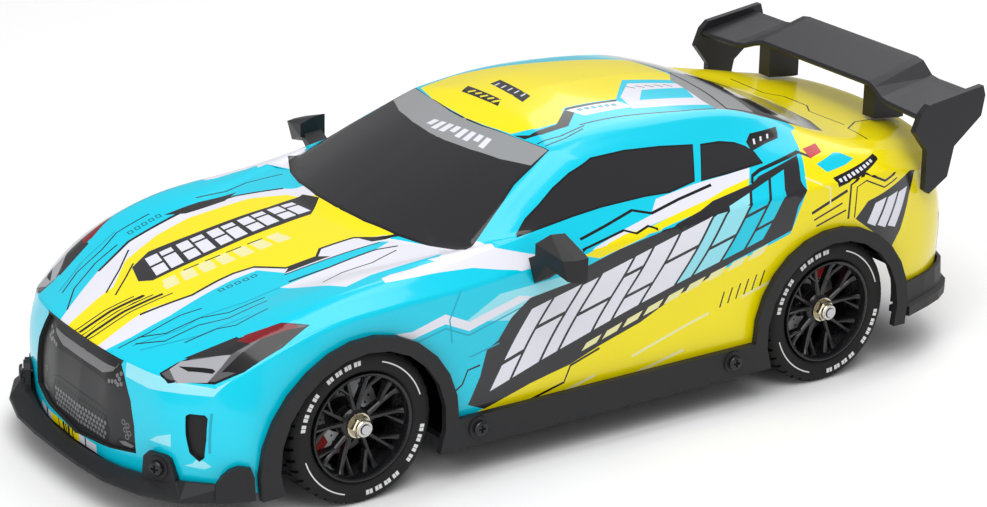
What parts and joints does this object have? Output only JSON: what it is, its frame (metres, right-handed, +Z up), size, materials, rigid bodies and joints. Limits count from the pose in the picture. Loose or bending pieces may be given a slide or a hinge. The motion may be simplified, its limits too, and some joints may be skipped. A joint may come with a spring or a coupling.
{
  "type": "toy car",
  "caption": "Four-wheel-drive drift car with printed shell, splitter, side skirts, rear wing, spoked wheels, sprung arms, steering and drive train.",
  "frame": {"origin": "middle of the footprint at the ground under the tyres", "axes": "+X towards the nose, +Y towards the left side, +Z up"},
  "size_m": [0.3103, 0.159, 0.0942],
  "materials": {
    "body_paint": "high gloss, printed pattern",
    "black_trim": "fine satin grain",
    "grille_grey": "semi-gloss",
    "lamp_smoke": "smoked, glossy",
    "wing_grey": "satin",
    "screw_black": "black oxide",
    "tyre_rubber": "matte rubber",
    "rim_black": "black gloss",
    "nut_brass": "plated, bright",
    "axle_steel": "turned",
    "caliper_red": "painted",
    "chassis_nylon": "moulded",
    "spring_steel": "bright wire",
    "gearbox_nylon": "moulded",
    "motor_can": "plated can",
    "gear_nylon": "natural nylon",
    "battery_wrap": "shrink wrap",
    "servo_case": "moulded",
    "board_green": "solder mask",
    "switch_red": "moulded"
  },
  "bodies": {
    "chassis": {"chassis_tub": "chassis_nylon", "battery_pack": "battery_wrap", "motor": "motor_can", "front_gearbox": "gearbox_nylon", "rear_gearbox": "gearbox_nylon", "steering_servo": "servo_case", "circuit_board": "board_green", "body_shell": "body_paint", "front_splitter": "black_trim", "side_skirt_left": "black_trim", "side_skirt_right": "black_trim", "rear_valance": "black_trim", "front_grille": "grille_grey", "headlight_left": "lamp_smoke", "headlight_right": "lamp_smoke", "mirror_left": "black_trim", "mirror_right": "black_trim", "rear_wing": "wing_grey", "screw_nose_left": "screw_black", "screw_fore_left": "screw_black", "screw_aft_left": "screw_black", "screw_nose_right": "screw_black", "screw_fore_right": "screw_black", "screw_aft_right": "screw_black", "spring_front_left": "spring_steel", "spring_front_right": "spring_steel", "spring_rear_left": "spring_steel", "spring_rear_right": "spring_steel"},
    "battery_door": {"battery_door": "chassis_nylon"},
    "power_switch": {"power_switch": "switch_red"},
    "motor_pinion": {"motor_pinion": "axle_steel"},
    "drive_shaft": {"propeller_shaft": "axle_steel", "spur_gear": "gear_nylon"},
    "servo_horn": {"servo_horn": "gear_nylon"},
    "tie_rod": {"tie_rod": "black_trim"},
    "arm_front_left": {"arm_front_left": "chassis_nylon"},
    "knuckle_front_left": {"knuckle_front_left": "caliper_red"},
    "wheel_front_left": {"tyre_front_left": "tyre_rubber", "rim_front_left": "rim_black", "axle_front_left": "axle_steel", "wheel_nut_front_left": "nut_brass"},
    "arm_front_right": {"arm_front_right": "chassis_nylon"},
    "knuckle_front_right": {"knuckle_front_right": "caliper_red"},
    "wheel_front_right": {"tyre_front_right": "tyre_rubber", "rim_front_right": "rim_black", "axle_front_right": "axle_steel", "wheel_nut_front_right": "nut_brass"},
    "arm_rear_left": {"arm_rear_left": "chassis_nylon", "knuckle_rear_left": "caliper_red"},
    "wheel_rear_left": {"tyre_rear_left": "tyre_rubber", "rim_rear_left": "rim_black", "axle_rear_left": "axle_steel", "wheel_nut_rear_left": "nut_brass"},
    "arm_rear_right": {"arm_rear_right": "chassis_nylon", "knuckle_rear_right": "caliper_red"},
    "wheel_rear_right": {"tyre_rear_right": "tyre_rubber", "rim_rear_right": "rim_black", "axle_rear_right": "axle_steel", "wheel_nut_rear_right": "nut_brass"}
  },
  "joints": [
    {"name": "suspension_front_left", "type": "hinge", "parent": "chassis", "child": "arm_front_left", "pos_m": [0.0875, 0.02, 0.0125], "axis": [1, 0, 0], "range_deg": [-3, 3], "stiffness_Nm_per_rad": 0.75, "springref_deg": -2.86, "deforming": ["spring_front_left"]},
    {"name": "suspension_front_right", "type": "hinge", "parent": "chassis", "child": "arm_front_right", "pos_m": [0.0875, -0.02, 0.0125], "axis": [-1, 0, 0], "range_deg": [-3, 3], "stiffness_Nm_per_rad": 0.75, "springref_deg": -2.86, "deforming": ["spring_front_right"]},
    {"name": "suspension_rear_left", "type": "hinge", "parent": "chassis", "child": "arm_rear_left", "pos_m": [-0.0875, 0.02, 0.0125], "axis": [1, 0, 0], "range_deg": [-3, 3], "stiffness_Nm_per_rad": 0.75, "springref_deg": -2.86, "deforming": ["spring_rear_left"]},
    {"name": "suspension_rear_right", "type": "hinge", "parent": "chassis", "child": "arm_rear_right", "pos_m": [-0.0875, -0.02, 0.0125], "axis": [-1, 0, 0], "range_deg": [-3, 3], "stiffness_Nm_per_rad": 0.75, "springref_deg": -2.86, "deforming": ["spring_rear_right"]},
    {"name": "steer_left", "type": "hinge", "parent": "arm_front_left", "child": "knuckle_front_left", "pos_m": [0.0875, 0.042, 0.0133], "axis": [0, 0, 1], "range_deg": [-26, 26]},
    {"name": "steer_right", "type": "hinge", "parent": "arm_front_right", "child": "knuckle_front_right", "pos_m": [0.0875, -0.042, 0.0133], "axis": [0, 0, 1], "range_deg": [-26, 26]},
    {"name": "spin_front_left", "type": "hinge", "parent": "knuckle_front_left", "child": "wheel_front_left", "pos_m": [0.0875, 0.0516, 0.024], "axis": [0, 1, 0], "continuous": true},
    {"name": "spin_front_right", "type": "hinge", "parent": "knuckle_front_right", "child": "wheel_front_right", "pos_m": [0.0875, -0.0516, 0.024], "axis": [0, 1, 0], "continuous": true},
    {"name": "spin_rear_left", "type": "hinge", "parent": "arm_rear_left", "child": "wheel_rear_left", "pos_m": [-0.0875, 0.0516, 0.024], "axis": [0, 1, 0], "continuous": true},
    {"name": "spin_rear_right", "type": "hinge", "parent": "arm_rear_right", "child": "wheel_rear_right", "pos_m": [-0.0875, -0.0516, 0.024], "axis": [0, 1, 0], "continuous": true},
    {"name": "shaft_spin", "type": "hinge", "parent": "chassis", "child": "drive_shaft", "pos_m": [0, 0, 0.024], "axis": [1, 0, 0], "continuous": true},
    {"name": "pinion_spin", "type": "hinge", "parent": "chassis", "child": "motor_pinion", "pos_m": [-0.0207, -0.01275, 0.024], "axis": [1, 0, 0], "continuous": true},
    {"name": "horn_turn", "type": "hinge", "parent": "chassis", "child": "servo_horn", "pos_m": [0.06, 0.012, 0.0223], "axis": [0, 0, 1], "range_deg": [-26, 26]},
    {"name": "tie_rod_slide", "type": "slide", "parent": "chassis", "child": "tie_rod", "axis": [0, 1, 0], "range_m": [-0.004, 0.004]},
    {"name": "battery_door_hinge", "type": "hinge", "parent": "chassis", "child": "battery_door", "pos_m": [-0.038, 0.0322, 0.009], "axis": [1, 0, 0], "range_deg": [0, 100]},
    {"name": "power_switch_slide", "type": "slide", "parent": "chassis", "child": "power_switch", "axis": [1, 0, 0], "range_m": [0, 0.004]}
  ],
  "couplings": [
    {"joint": "steer_right", "follows": "steer_left", "ratio": 1},
    {"joint": "horn_turn", "follows": "steer_left", "ratio": -1},
    {"joint": "tie_rod_slide", "follows": "steer_left", "m_per_rad": -0.0078},
    {"joint": "spin_rear_right", "follows": "spin_rear_left", "ratio": 1},
    {"joint": "spin_front_left", "follows": "spin_rear_left", "ratio": 1},
    {"joint": "spin_front_right", "follows": "spin_rear_left", "ratio": 1},
    {"joint": "shaft_spin", "follows": "spin_rear_left", "ratio": 2.6},
    {"joint": "pinion_spin", "follows": "spin_rear_left", "ratio": -6.24}
  ]
}
